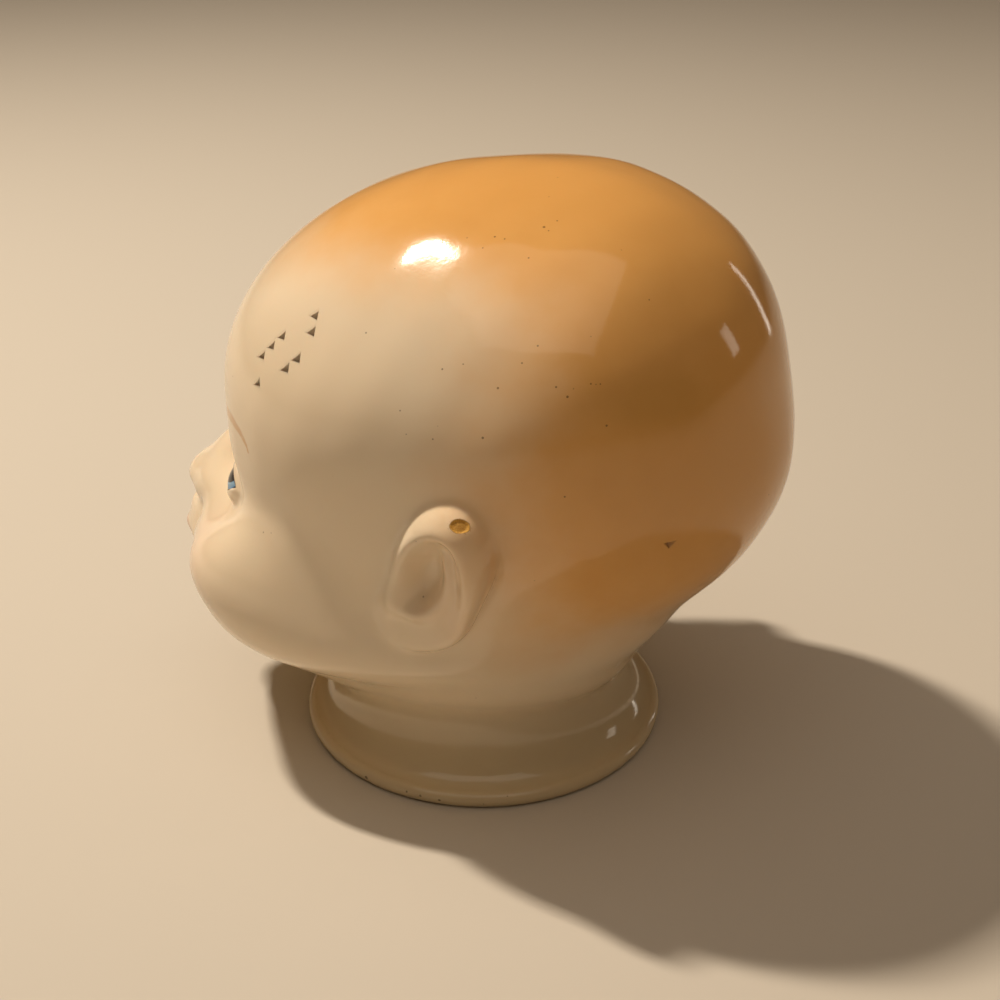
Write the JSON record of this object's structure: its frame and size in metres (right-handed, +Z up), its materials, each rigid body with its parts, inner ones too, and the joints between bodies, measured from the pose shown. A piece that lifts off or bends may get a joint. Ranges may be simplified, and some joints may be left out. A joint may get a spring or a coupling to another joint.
{
  "type": "porcelain doll head",
  "caption": "Hollow baby doll head in glazed porcelain with painted features and a flanged neck that a cloth body is tied to.",
  "frame": {"origin": "centre of the head's outline seen from above, on the plane that the neck flange stands on", "axes": "+Z up through the crown, the face looks along -Y, the doll's left ear is on the +X side"},
  "size_m": [0.0966, 0.1182, 0.1099],
  "materials": {
    "glazed_porcelain": "clear gloss glaze over a cream body, with tan colour sprayed on the scalp and hand-painted features"
  },
  "bodies": {
    "root": {"doll_head": "glazed_porcelain"}
  },
  "joints": []
}
